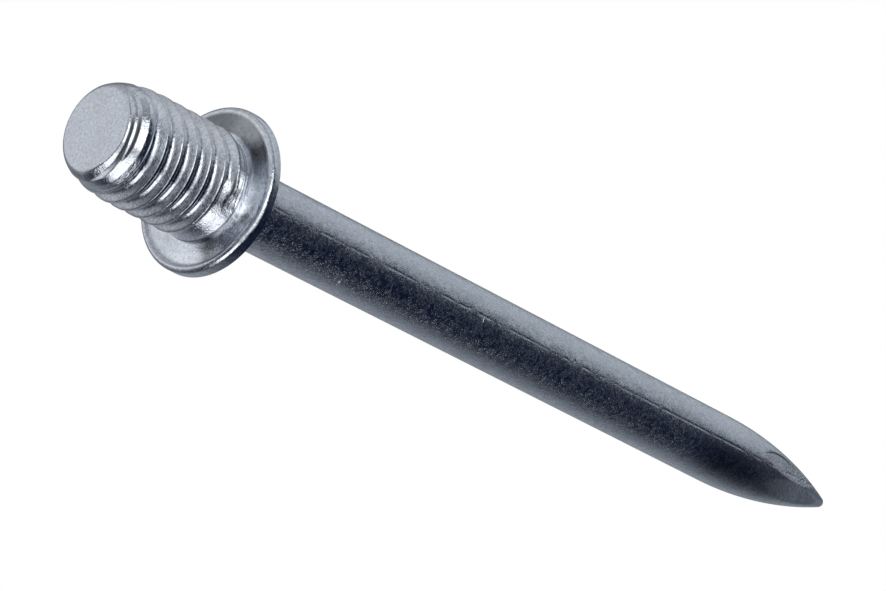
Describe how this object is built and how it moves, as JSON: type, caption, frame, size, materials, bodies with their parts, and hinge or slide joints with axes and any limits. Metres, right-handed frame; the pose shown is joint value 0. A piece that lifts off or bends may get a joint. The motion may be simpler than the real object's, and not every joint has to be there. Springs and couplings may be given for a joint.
{
  "type": "threaded drive pin",
  "caption": "Hardened steel nail with an ogive point, a round collar and a short threaded stud, in one piece, zinc plated.",
  "frame": {"origin": "centre of the flat on the stud's end, on which the pin stands", "axes": "+Z along the pin, from the stud's end to the tip of the point"},
  "size_m": [0.0086, 0.0086, 0.0586],
  "materials": {
    "zinc_plated_steel": "bright zinc plate over forged steel, satin with mottled dark reflections"
  },
  "bodies": {
    "root": {"drive_pin": "zinc_plated_steel"}
  },
  "joints": []
}
